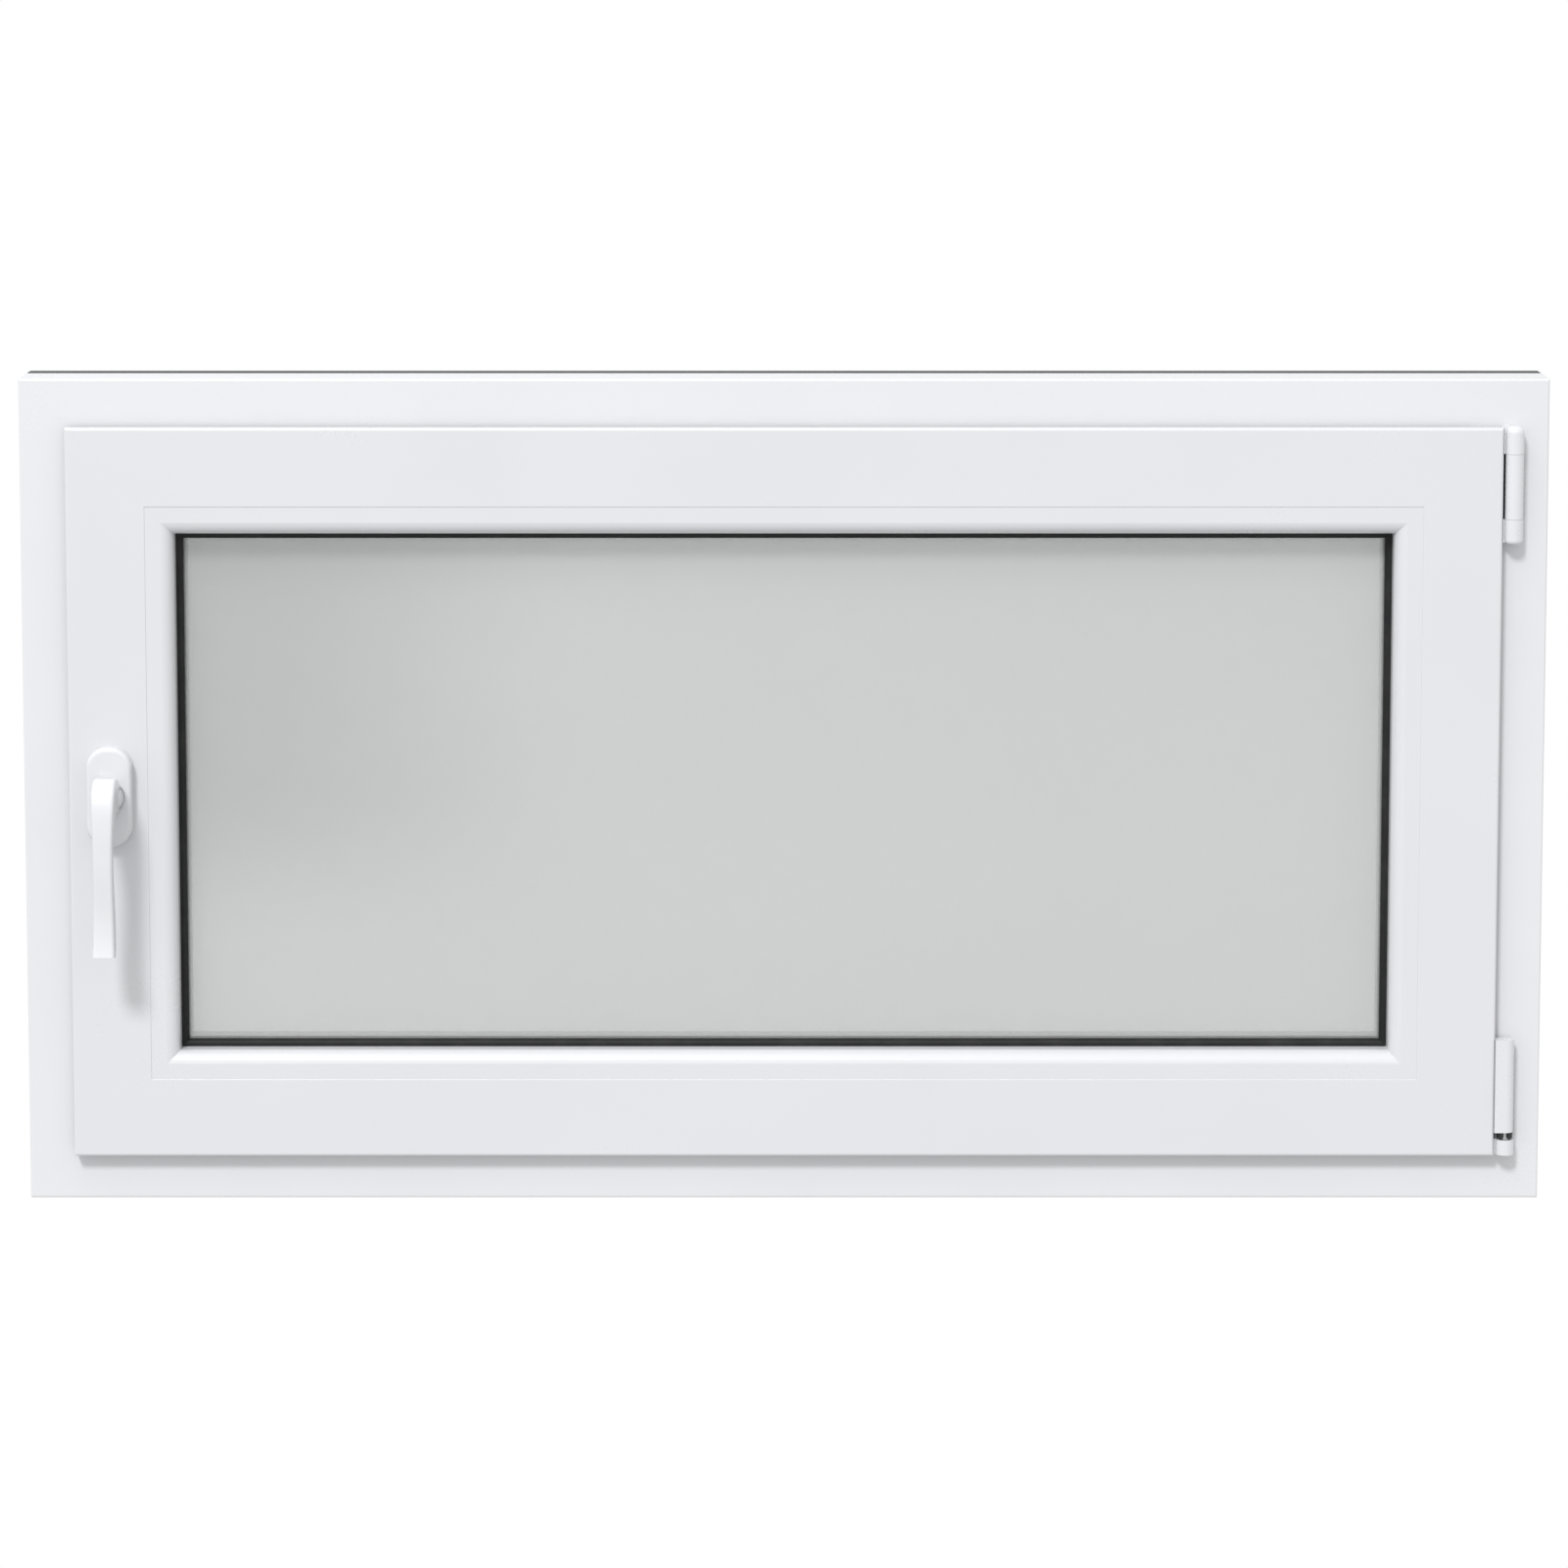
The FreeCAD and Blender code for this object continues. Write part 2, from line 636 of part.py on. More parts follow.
hollow = hollow.fuse(box(sash_half - 1, axis_x - 2.9, axis_y + 4.9, front, strap_z0 - 0.1, strap_z1 + 0.1))
barrel = barrel.cut(hollow).cut(made["lower_hinge_strap"])
save("lower_barrel_cover", barrel)

# ---- swivel: turns in the bracket's seat and carries the cross pin of the tilt axis ----
swivel = rod_along((0, 0, 1), seat_r, axis_x, axis_y, tilt_z - 5.0, 8.9)
slit = tongue_half + running
swivel = swivel.cut(box(axis_x - slit, axis_x + slit, axis_y - 8, axis_y + 8, tilt_z - 3.8, tilt_z + 10))
cross_half = seat_r - 0.6
swivel = swivel.fuse(rod_along((1, 0, 0), cross_r, axis_x - cross_half, axis_y, tilt_z, 2 * cross_half))
save("lower_hinge_swivel", swivel)

# ---- scissor arm: strip over the sash, cranked round the flap to its eye on the upper pin ----
arm_z0 = rebate_high + 5.5
arm_z1 = arm_z0 + arm_thick
stud_x = axis_x - arm_reach
stud_r = 3.0
arm = box(stud_x - 9, rebate_x + 11, groove_y - 6, groove_y + 6, arm_z0, arm_z1)
arm = arm.fuse(box(rebate_x - 3, rebate_x + 11, plate_y0, groove_y + 6, arm_z0, arm_z1))
arm = arm.fuse(box(rebate_x + 3, axis_x - 3.0, plate_y0, plate_y1, eye_z0, arm_z0 + 1))
arm = arm.fuse(box(rebate_x + 3, rebate_x + 11, plate_y0, plate_y1, arm_z0, arm_z1))
arm = arm.fuse(box(sash_half + 0.6, axis_x - 3.0, axis_y + 4.5, plate_y1, eye_z0, eye_z1))
arm = arm.fuse(rod_along((0, 0, 1), knuckle_r, axis_x, axis_y, eye_z0, eye_z1 - eye_z0))
arm = arm.cut(rod_along((0, 0, 1), hinge_pin_r + running, axis_x, axis_y, eye_z0 - 1, 60))
arm = arm.fuse(rod_along((0, 0, 1), stud_r, stud_x, groove_y, rebate_high - 7, arm_z0 - rebate_high + 7))
arm = arm.cut(box(sash_half, axis_x + hinge_r, axis_y - hinge_r, front, eye_z1, arm_z1 + 1))
save("scissor_arm", arm)
sleeve = rod_along((0, 0, 1), hinge_r - 0.2, axis_x, axis_y, eye_z0, eye_z1 - eye_z0)
sleeve = sleeve.cut(rod_along((0, 0, 1), knuckle_r, axis_x, axis_y, eye_z0 - 1, 60))
sleeve = sleeve.cut(box(sash_half - 1, axis_x - 2.9, axis_y + 4.4, front, eye_z0 - 1, eye_z1 + 1))
save("scissor_eye_cover", sleeve)

# ---- faceplates over the groove, slotted for the cams and for the scissor stud ----


def rounded_slot(axis, x0, x1, y, z0, z1, r, depth):
    # A slot through a plate, running along X or Z between its two end centres.
    if axis == "z":
        body = box(x0, x0 + depth, y - r, y + r, z0, z1)
        ends = [rod_along((1, 0, 0), r, x0, y, z, depth) for z in (z0, z1)]
    else:
        body = box(x0, x1, y - r, y + r, z0, z0 + depth)
        ends = [rod_along((0, 0, 1), r, x, y, z0, depth) for x in (x0, x1)]
    return body.fuse(ends)


slot_r = cam_r + 0.4
corner_leg = 56.0
slot_deep = faceplate_thick + 2
face_z0 = rebate_low + corner_leg
face_z1 = rebate_high - corner_leg
left_face = box(-rebate_x, -rebate_x + faceplate_thick, recess_y0, recess_y1, face_z0, face_z1)
for z in cam_z:
    cam_slot = rounded_slot("z", -rebate_x - 1, 0, groove_y, z - stroke - 0.5, z, slot_r, slot_deep)
    left_face = left_face.cut(cam_slot)
save("faceplate_left", left_face)
top_face_z0 = rebate_high - faceplate_thick
top_face = box(-rebate_x + corner_leg, rebate_x - 20, recess_y0, recess_y1, top_face_z0, rebate_high)
slot_low = top_face_z0 - 1
for x in cam_top_x:
    cam_slot = rounded_slot("x", x - stroke - 0.5, x, groove_y, slot_low, 0, slot_r, slot_deep)
    top_face = top_face.cut(cam_slot)
stud_slot = rounded_slot("x", stud_x - 2, stud_x + 10, groove_y, slot_low, 0, stud_r + 1.3, slot_deep)
top_face = top_face.cut(stud_slot)
save("faceplate_top", top_face)
bottom_face = box(-rebate_x + corner_leg, 150, recess_y0, recess_y1, rebate_low, rebate_low + faceplate_thick)
for x in cam_bottom_x:
    cam_slot = rounded_slot("x", x, x + stroke + 0.5, groove_y, rebate_low - 1, 0, slot_r, slot_deep)
    bottom_face = bottom_face.cut(cam_slot)
save("faceplate_bottom", bottom_face)

# ---- corner drives: angle housings in the groove at the two corners on the handle side ----
corners = []
for z0, z1, lo, hi in (
    (rebate_low, rebate_low + corner_leg, rebate_low, rebate_low + groove_depth - 1),
    (rebate_high - corner_leg, rebate_high, rebate_high - groove_depth + 1, rebate_high),
):
    upright = box(-rebate_x, -rebate_x + groove_depth - 1, slot_y0, slot_y1, z0, z1)
    level = box(-rebate_x, -rebate_x + corner_leg, slot_y0, slot_y1, lo, hi)
    corners.append(upright.fuse(level).removeSplitter())
save("corner_drives", Part.makeCompound(corners))

# ---- drive rods with their cams ----
rod_u0 = faceplate_thick + 0.2
rod_y0 = groove_y - rod_width / 2
rod_y1 = groove_y + rod_width / 2
pitch_u = backset - pitch_r
rack_tip = pitch_u + tooth_module
rack_root = pitch_u - 1.25 * tooth_module
end_gap = 1.0
left_rod_z0 = rebate_low + corner_leg + stroke + end_gap
left_rod_z1 = rebate_high - corner_leg - end_gap
rod = box(-rebate_x + rod_u0, -rebate_x + rod_u0 + rod_thick, rod_y0, rod_y1, left_rod_z0, left_rod_z1)
for z in cam_z:
    rod = rod.fuse(rod_along((1, 0, 0), cam_r, -rebate_x - cam_stand, groove_y, z, cam_stand + rod_u0 + 0.5))
pitch = math.pi * tooth_module
rack_half = stroke + 3.5 * pitch
rack_z0 = mid_z - 3 * pitch - 0.5
rack_z1 = mid_z + stroke + 3 * pitch
rack_pad = box(-rebate_x + rod_u0, -rebate_x + rack_tip, rod_y0, rod_y1, rack_z0, rack_z1)
rod = rod.fuse(rack_pad)
count = int(rack_half / pitch) + 4
for k in range(-count, count + 1):
    # Each gap of the rack faces a tooth of the pinion at rest.
    z = mid_z + k * pitch
    if z - pitch < rack_z0 - pitch or z > rack_z1 + pitch:
        continue
    tip_half = pitch / 4 + tooth_backlash / 2 + tooth_module * math.tan(pressure_angle)
    root_half = pitch / 4 + tooth_backlash / 2 - 1.25 * tooth_module * math.tan(pressure_angle)
    x_tip = -rebate_x + rack_tip
    x_root = -rebate_x + rack_root
    gap = prism(
        [
            (x_tip + 0.5, rod_y0 - 1, z - tip_half - 0.5 * math.tan(pressure_angle)),
            (x_tip + 0.5, rod_y0 - 1, z + tip_half + 0.5 * math.tan(pressure_angle)),
            (x_root, rod_y0 - 1, z + root_half),
            (x_root, rod_y0 - 1, z - root_half),
        ],
        (0, rod_width + 2, 0),
    )
    rod = rod.cut(gap)
save("rod_left", rod)
cam_tall = cam_stand + rod_u0 + 0.5
top_rod_x0 = -rebate_x + corner_leg + stroke + end_gap
top_rod_z1 = rebate_high - rod_u0
top_rod = box(top_rod_x0, -40, rod_y0, rod_y1, top_rod_z1 - rod_thick, top_rod_z1)
for x in cam_top_x:
    top_rod = top_rod.fuse(rod_along((0, 0, 1), cam_r, x, groove_y, top_rod_z1 - 0.5, cam_tall))
save("rod_top", top_rod)
bottom_rod_x0 = -rebate_x + corner_leg + end_gap
bottom_rod_z0 = rebate_low + rod_u0
bottom_rod = box(bottom_rod_x0, 110, rod_y0, rod_y1, bottom_rod_z0, bottom_rod_z0 + rod_thick)
for x in cam_bottom_x:
    bottom_rod = bottom_rod.fuse(rod_along((0, 0, 1), cam_r, x, groove_y, rebate_low - cam_stand, cam_tall))
save("rod_bottom", bottom_rod)

# ---- gearbox case ----
pinion_y0 = groove_y - 4.0
pinion_y1 = groove_y + 4.0
plate_inner = -rebate_x + faceplate_thick
case = pocket.cut(box(-rebate_x - 1, plate_inner, case_y0 - 1, case_y1 + 1, case_z0 - 1, case_z1 + 1))
rack_inner = -rebate_x + rack_tip + 0.3
case = case.cut(box(-rebate_x, rack_inner, rod_y0 - 0.3, rod_y1 + 0.3, case_z0 - 1, case_z1 + 1))
case = case.cut(rod_along((0, 1, 0), pitch_r + tooth_module + 0.4, handle_x, pinion_y0 - 0.3, mid_z, 8.6))
case = case.cut(rod_along((0, 1, 0), spindle_room, handle_x, case_y0 - 1, mid_z, case_y1 - case_y0))
for z in screw_marks:
    case = case.cut(rod_along((0, 1, 0), handle_screw_r, handle_x, case_y0 - 1, z, 11))
save("gearbox_case", case)

# ---- pinion: involute teeth, in mesh with the rack at rest ----


def involute_points(base_r, start_r, end_r, steps):
    points = []
    for k in range(steps + 1):
        r = start_r + (end_r - start_r) * k / steps
        a = math.acos(min(1.0, base_r / r))
        points.append((r, math.tan(a) - a))
    return points


def pinion_face(y):
    base_r = pitch_r * math.cos(pressure_angle)
    root_r = pitch_r - 1.25 * tooth_module
    tip_r = pitch_r + tooth_module
    inv_pitch = math.tan(pressure_angle) - pressure_angle
    half_tooth = math.pi / (2 * tooth_count) - tooth_backlash / (2 * pitch_r)
    flank = involute_points(base_r, base_r, tip_r, 6)
    points = []
    for k in range(tooth_count):
        centre = math.pi + 2 * math.pi * k / tooth_count
        rising = [(root_r, -half_tooth - inv_pitch + 0.02)]
        rising += [(r, -half_tooth - inv_pitch + a) for r, a in flank]
        falling = [(r, -a) for r, a in reversed(rising)]
        for r, a in rising + falling:
            points.append(V(handle_x + r * math.cos(centre + a), y, mid_z + r * math.sin(centre + a)))
    return Part.Face(Part.makePolygon(points + [points[0]]))


def square_bar(side, y0, y1):
    return box(handle_x - side / 2, handle_x + side / 2, y0, y1, mid_z - side / 2, mid_z + side / 2)


pinion = pinion_face(pinion_y0).extrude(V(0, pinion_y1 - pinion_y0, 0))
save("pinion", pinion.cut(square_bar(spindle_side, pinion_y0 - 1, pinion_y1 + 1)))

# ---- handle: base, rosette cover, screws, spindle and lever ----
rosette_front = sash_front - rosette_height
base_front = sash_front - 4.0
collar_r = 9.0


def obround(width, length, corner, y0, y1):
    block = box(handle_x - width / 2, handle_x + width / 2, y0, y1, mid_z - length / 2, mid_z + length / 2)
    return fillet_where(block, corner, lambda e: e.BoundBox.YLength > (y1 - y0) * 0.9)


base = obround(rosette_width - 4, rosette_length - 4, 13.0, base_front, sash_front)
base = base.fuse(rod_along((0, 1, 0), 11.3, handle_x, rosette_front + 2.0, mid_z, rosette_height - 3))
collar_room = rod_along((0, 1, 0), collar_r + running, handle_x, rosette_front - 1, mid_z, rosette_height - 1)
base = base.cut(collar_room)
base = base.cut(rod_along((0, 1, 0), spindle_room, handle_x, rosette_front, mid_z, rosette_height + 2))
screw_parts = []
for z in screw_marks:
    shank = rod_along((0, 1, 0), handle_screw_r, handle_x, base_front, z, 24)
    head = rod_along((0, 1, 0), 4.4, handle_x, base_front - 2.4, z, 2.4)
    screw_parts.append(shank.fuse(head).common(box(-sash_half, 0, -100, case_y0 + 9.9, 0, frame_height)))
    base = base.cut(rod_along((0, 1, 0), handle_screw_r, handle_x, base_front - 1, z, 10))
save("handle_base", base)
save("handle_screws", Part.makeCompound(screw_parts))
rosette = obround(rosette_width, rosette_length, 15.0, rosette_front, sash_front)
rosette = fillet_where(
    rosette, 3.2, lambda e: abs(e.BoundBox.YMin - rosette_front) < 0.01 and e.BoundBox.YLength < 0.01
)
room = obround(rosette_width - 4, rosette_length - 4, 13.0, base_front - 3.0, sash_front + 1)
rosette = rosette.cut(room).cut(rod_along((0, 1, 0), 11.3, handle_x, rosette_front - 1, mid_z, 20))
save("handle_rosette", rosette)

lever_outer = [
    (-62.4, 11.0),
    (-72.0, 15.6),
    (-86.0, 16.4),
    (-97.5, 8.0),
    (-102.5, -12.0),
    (-103.0, -45.0),
    (-105.0, -lever_drop + 1.5),
]
lever_inner = [
    (-94.5, -lever_drop),
    (-92.6, -45.0),
    (-89.5, -20.0),
    (-81.0, -9.5),
    (-70.0, -10.2),
    (-62.4, -11.0),
]


def spline(points, place):
    curve = Part.BSplineCurve()
    curve.interpolate([place(p) for p in points])
    return curve.toShape()


def side_point(p):
    return V(handle_x - 20, p[0], mid_z + p[1])


outer_edge = spline(lever_outer, side_point)
inner_edge = spline(lever_inner, side_point)
tip_edge = Part.makeLine(side_point(lever_outer[-1]), side_point(lever_inner[0]))
root_edge = Part.makeLine(side_point(lever_inner[-1]), side_point(lever_outer[0]))
side_shape = Part.Face(Part.Wire([outer_edge, tip_edge, inner_edge, root_edge])).extrude(V(40, 0, 0))
half_widths = [(22.0, 8.6), (0.0, 8.2), (-20.0, 7.4), (-50.0, 7.0), (-85.0, 7.4), (-lever_drop - 4, 8.1)]


def front_point(sign):
    return lambda p: V(handle_x + sign * p[1], -120, mid_z + p[0])


right_edge = spline(half_widths, front_point(1))
left_edge = spline(half_widths, front_point(-1))
top_edge = Part.makeLine(front_point(1)(half_widths[0]), front_point(-1)(half_widths[0]))
low_edge = Part.makeLine(front_point(1)(half_widths[-1]), front_point(-1)(half_widths[-1]))
front_shape = Part.Face(Part.Wire([right_edge, low_edge, left_edge, top_edge])).extrude(V(0, 80, 0))
grip = side_shape.common(front_shape).Solids[0]
grip = fillet_where(grip, 2.6, lambda e: e.BoundBox.DiagonalLength > 60)
neck = Part.makeCone(11.0, 8.6, 12.0, V(handle_x, rosette_front - 0.6, mid_z), V(0, -1, 0))
collar = rod_along((0, 1, 0), collar_r, handle_x, rosette_front - 1.0, mid_z, rosette_height - 2.2)
lever = grip.fuse([neck, collar])
lever = lever.cut(square_bar(spindle_side, -80, sash_front + 1))
save("handle_lever", lever)
save("spindle", square_bar(spindle_side, -80, groove_y + 4.6))

total = 0.0
for name, shape in made.items():
    problem = "" if shape.isValid() else " INVALID"
    total += shape.Volume
    print(f"{name:22s} solids {len(shape.Solids)} volume {shape.Volume / 1000:9.2f} cm3{problem}")
print(len(made), "nodes, total volume", round(total / 1000), "cm3, stroke", round(stroke, 3))
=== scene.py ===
import math

import bmesh
import bpy
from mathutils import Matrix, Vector


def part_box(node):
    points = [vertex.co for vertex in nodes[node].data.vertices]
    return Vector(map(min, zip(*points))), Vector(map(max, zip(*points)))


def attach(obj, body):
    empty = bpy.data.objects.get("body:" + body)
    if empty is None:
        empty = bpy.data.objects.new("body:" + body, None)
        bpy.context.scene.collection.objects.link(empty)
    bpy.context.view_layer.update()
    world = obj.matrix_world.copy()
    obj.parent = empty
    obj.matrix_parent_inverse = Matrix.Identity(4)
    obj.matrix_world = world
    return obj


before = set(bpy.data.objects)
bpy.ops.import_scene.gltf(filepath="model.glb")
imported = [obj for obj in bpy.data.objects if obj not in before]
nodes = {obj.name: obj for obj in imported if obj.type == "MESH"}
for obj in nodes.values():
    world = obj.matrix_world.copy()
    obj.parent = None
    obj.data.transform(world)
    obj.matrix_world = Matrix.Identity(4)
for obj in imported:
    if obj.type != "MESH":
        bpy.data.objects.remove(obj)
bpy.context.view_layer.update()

# ---- Outer frame ----
# Four lengths extruded from white uPVC, cut at 45 degrees and welded at the corners.
# A grained anthracite foil covers the outside and wraps 22 mm round the edge.


class Signal:
    """A socket of a material's node tree that takes part in sums."""

    def __init__(self, finish, socket):
        self.finish = finish
        self.socket = socket

    def maths(self, operation, *values):
        return self.finish.node("ShaderNodeMath", {"operation": operation}, dict(enumerate(values)))

    def __add__(self, other):
        return self.maths("ADD", self, other)

    def __radd__(self, other):
        return self.maths("ADD", other, self)

    def __sub__(self, other):
        return self.maths("SUBTRACT", self, other)

    def __rsub__(self, other):
        return self.maths("SUBTRACT", other, self)

    def __mul__(self, other):
        return self.maths("MULTIPLY", self, other)

    def __rmul__(self, other):
        return self.maths("MULTIPLY", other, self)

    def __gt__(self, other):
        return self.maths("GREATER_THAN", self, other)

    def __lt__(self, other):
        return self.maths("LESS_THAN", self, other)

    def __abs__(self):
        return self.maths("ABSOLUTE", self)

    def lower(self, other):
        return self.maths("MINIMUM", self, other)

    def step(self, start, end):
        """0 before start, 1 after end and smooth between them."""
        settings = {"interpolation_type": "SMOOTHSTEP"}
        return self.finish.node("ShaderNodeMapRange", settings, {0: self, 1: start, 2: end, 3: 0.0, 4: 1.0})


class Finish:
    """One material: a Principled surface and the nodes that vary it."""

    def __init__(self, name, **plain):
        self.material = bpy.data.materials.new(name)
        self.material.use_nodes = True
        self.tree = self.material.node_tree
        self.surface = self.tree.nodes["Principled BSDF"]
        for socket, value in plain.items():
            self.put(socket.replace("_", " "), value)

    def node(self, kind, settings, inputs, out=0):
        made = self.tree.nodes.new(kind)
        for key, value in settings.items():
            setattr(made, key, value)
        for key, value in inputs.items():
            self.join(made.inputs[key], value)
        return Signal(self, made.outputs[out])

    def join(self, socket, value):
        if isinstance(value, Signal):
            self.tree.links.new(value.socket, socket)
        else:
            socket.default_value = value

    def put(self, socket, value):
        self.join(self.surface.inputs[socket], value)

    def place(self):
        """The point's place on the part itself, in metres."""
        return self.node("ShaderNodeTexCoord", {}, {}, "Object")

    def split(self, where):
        return [self.node("ShaderNodeSeparateXYZ", {}, {0: where}, axis) for axis in "XYZ"]

    def noise(self, where, scale, detail=2.0, stretch=(1, 1, 1)):
        mapped = self.node("ShaderNodeMapping", {}, {"Vector": where, "Scale": stretch})
        return self.node("ShaderNodeTexNoise", {}, {"Vector": mapped, "Scale": scale, "Detail": detail})

    def blend(self, factor, a, b):
        inputs = {0: factor, 6: rgba(a), 7: rgba(b)}
        return self.node("ShaderNodeMix", {"data_type": "RGBA"}, inputs, 2)

    def bump(self, height, strength, distance):
        inputs = {"Strength": strength, "Distance": distance, "Height": height}
        self.put("Normal", self.node("ShaderNodeBump", {}, inputs))


def rgba(colour):
    """A plain colour with its alpha, or a socket as it is."""
    return colour if isinstance(colour, Signal) else (*colour, 1.0)


def dress(names, finish):
    """Give each of these pieces the one finish."""
    for name in names:
        slots = nodes[name].data.materials
        slots.clear()
        slots.append(finish.material)


FRAME_WHITE = (0.668, 0.675, 0.695)
ANTHRACITE = (0.042, 0.045, 0.05)
DUST_GREY = (0.50, 0.50, 0.48)
PVC_COAT = 0.15
FOIL_WRAP = 0.022
FOIL_EDGE = 0.0001
MITRE_LINE = (0.0003, 0.0011)


def profile_finish(name, white_pvc, run, half, low, high, foil_y=None):
    """White profile running along X or Z, welded at its mitres, foiled behind foil_y."""
    finish = Finish(name, IOR=1.53, Coat_Weight=PVC_COAT, Coat_Roughness=0.12)
    where = finish.place()
    x, y, z = finish.split(where)
    cloud = finish.noise(where, 9.0)
    dust = finish.noise(where, 420.0, 3.0)
    along = (0.02, 1, 1) if run == "X" else (1, 1, 0.02)
    draw = finish.noise(where, 900.0, 1.0, along)
    side = half - abs(x)
    rise = (z - low).lower(high - z)
    seam = 1 - abs(side - rise).step(*MITRE_LINE)
    white = finish.blend(cloud.step(0.35, 0.7), white_pvc, [c * 0.985 for c in white_pvc])
    white = finish.blend(seam * 0.05, white, [c * 0.8 for c in white_pvc])
    white = finish.blend(dust.step(0.60, 0.85) * 0.02, white, DUST_GREY)
    satin = cloud * 0.08 + dust * 0.02 + 0.24
    relief = draw * 0.5 + dust * 0.1 - seam * 0.3
    if foil_y is None:
        finish.put("Base Color", white)
        finish.put("Roughness", satin)
        finish.bump(relief, 0.025, 0.0003)
        return finish
    foil = y.step(foil_y - FOIL_EDGE, foil_y + FOIL_EDGE)
    pore = finish.noise(where, 1500.0, 2.0, along)
    figure = finish.noise(where, 160.0, 3.0, along)
    film = finish.blend(figure.step(0.35, 0.7), [c * 0.85 for c in ANTHRACITE], [c * 1.2 for c in ANTHRACITE])
    film = finish.blend(pore.step(0.55, 0.75) * 0.6, film, [c * 0.4 for c in ANTHRACITE])
    finish.put("Base Color", finish.blend(foil, white, film))
    finish.put("Roughness", satin * (1 - foil) + foil * (pore * 0.2 + 0.55))
    finish.put("Coat Weight", PVC_COAT - foil * PVC_COAT)
    finish.bump(relief - foil * (pore * 22.0 + figure * 8.0), 0.025, 0.0003)
    return finish


frame_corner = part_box("frame_head")[1]
frame_size = (frame_corner.x, 0.0, frame_corner.z)
foil_start = frame_corner.y - FOIL_WRAP
for run, names in (("X", ["frame_sill", "frame_head"]), ("Z", ["frame_jamb_left", "frame_jamb_right"])):
    dress(names, profile_finish(f"frame_pvc_{run}", FRAME_WHITE, run, *frame_size, foil_start))

# ---- Sash and glazing beads ----
# The sash is welded up from a wider white profile, and its beads clip in round the glass.
# Only the sash's outside lip carries the foil.
# Painted shade: the sash and beads are the frame's same white uPVC, painted a little darker.
SHADED_SASH_WHITE = (0.63, 0.637, 0.657)
sash_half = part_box("sash_bottom")[1].x
sash_size = (sash_half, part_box("sash_bottom")[0].z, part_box("sash_top")[1].z)
lip_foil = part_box("glazing_seal_outer")[1].y + 0.0005
for run, sides in (("X", ("bottom", "top")), ("Z", ("left", "right"))):
    sash_pvc = profile_finish(f"sash_pvc_{run}", SHADED_SASH_WHITE, run, *sash_size, lip_foil)
    dress([f"sash_{side}" for side in sides], sash_pvc)
for run, sides in (("X", ("bottom", "top")), ("Z", ("left", "right"))):
    bead_pvc = profile_finish(f"bead_pvc_{run}", SHADED_SASH_WHITE, run, *sash_size)
    dress([f"bead_{side}" for side in sides], bead_pvc)

# ---- Rubber seals ----
# Black EPDM: two glazing seals that grip the glass, the overlap seal on the flap and the frame's outer seal.
# The glass unit's edge sealant is the same black.
rubber = Finish("black_seal", IOR=1.42)
where = rubber.place()
bloom = rubber.noise(where, 60.0, 3.0)
pores = rubber.noise(where, 1800.0)
rubber.put("Base Color", rubber.blend(bloom.step(0.4, 0.8), (0.006, 0.006, 0.0065), (0.016, 0.016, 0.017)))
rubber.put("Roughness", bloom * 0.15 + pores * 0.1 + 0.5)
rubber.bump(pores, 0.25, 0.0002)
dress(["glazing_seal_inner", "glazing_seal_outer", "sash_seal", "frame_seal", "edge_sealant"], rubber)

# ---- Glass ----
# Two panes of float glass, sealed round the edge; a trace of dust and wiped film breaks up the gloss.
# A painted darker reflection deepens the grey towards each pane's upper left.
PANE_COVER = 0.335
# Where the painted darker reflection sits on each pane, in metres from its lower left corner.
DARK_REFLECTION_ACROSS, DARK_REFLECTION_ACROSS_FADE = 0.056, 0.27
DARK_REFLECTION_UP, DARK_REFLECTION_UP_FADE = 0.086, 0.13
pane_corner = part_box("glass_inner")[0]


def pane_finish(name, tint):
    glass = Finish(name, IOR=1.52)
    where = glass.place()
    x, _, z = glass.split(where)
    film = glass.noise(where, 3.0, 1.0, (1, 1, 2.2))
    specks = glass.noise(where, 700.0, 2.0)
    # Painted reflection: the pane's colour is darkened towards its upper left, as a darker part of the
    # surroundings seen in the glass.
    reflection_leftward = 1 - (x - (pane_corner.x + DARK_REFLECTION_ACROSS)).step(0.0, DARK_REFLECTION_ACROSS_FADE)
    upward = (z - (pane_corner.z + DARK_REFLECTION_UP)).step(0.0, DARK_REFLECTION_UP_FADE)
    shade = reflection_leftward * upward * (film * 0.4 + 0.75)
    tone = glass.blend(film.step(0.3, 0.75), tint, [c * 0.98 for c in tint])
    glass.put("Base Color", glass.blend(shade, tone, [c * 0.76 for c in tint]))
    glass.put("Roughness", film * 0.03 + specks.step(0.68, 0.8) * 0.12 + 0.02)
    glass.put("Alpha", specks.step(0.7, 0.8) * 0.04 + PANE_COVER)
    return glass


dress(["glass_inner"], pane_finish("room_pane", (0.535, 0.547, 0.54)))
dress(["glass_outer"], pane_finish("outside_pane", (0.52, 0.532, 0.525)))

# ---- Spacer bar and glazing blocks ----
# A folded aluminium bar holds the panes apart, bonded between them.
# Moulded blue blocks carry the glass unit's weight in the sash.
spacer = Finish("spacer_aluminium", Metallic=1.0)
where = spacer.place()
brushed = spacer.noise(where, 500.0, 2.0)
spacer.put("Base Color", spacer.blend(brushed, (0.62, 0.63, 0.64), (0.78, 0.79, 0.80)))
spacer.put("Roughness", brushed * 0.15 + 0.3)
spacer.bump(brushed, 0.1, 0.0002)
dress(["spacer_bar"], spacer)
block = Finish("block_plastic", IOR=1.49)
where = block.place()
mould = block.noise(where, 350.0)
block.put("Base Color", block.blend(mould, (0.05, 0.12, 0.26), (0.07, 0.16, 0.32)))
block.put("Roughness", mould * 0.2 + 0.4)
dress(["glazing_blocks"], block)

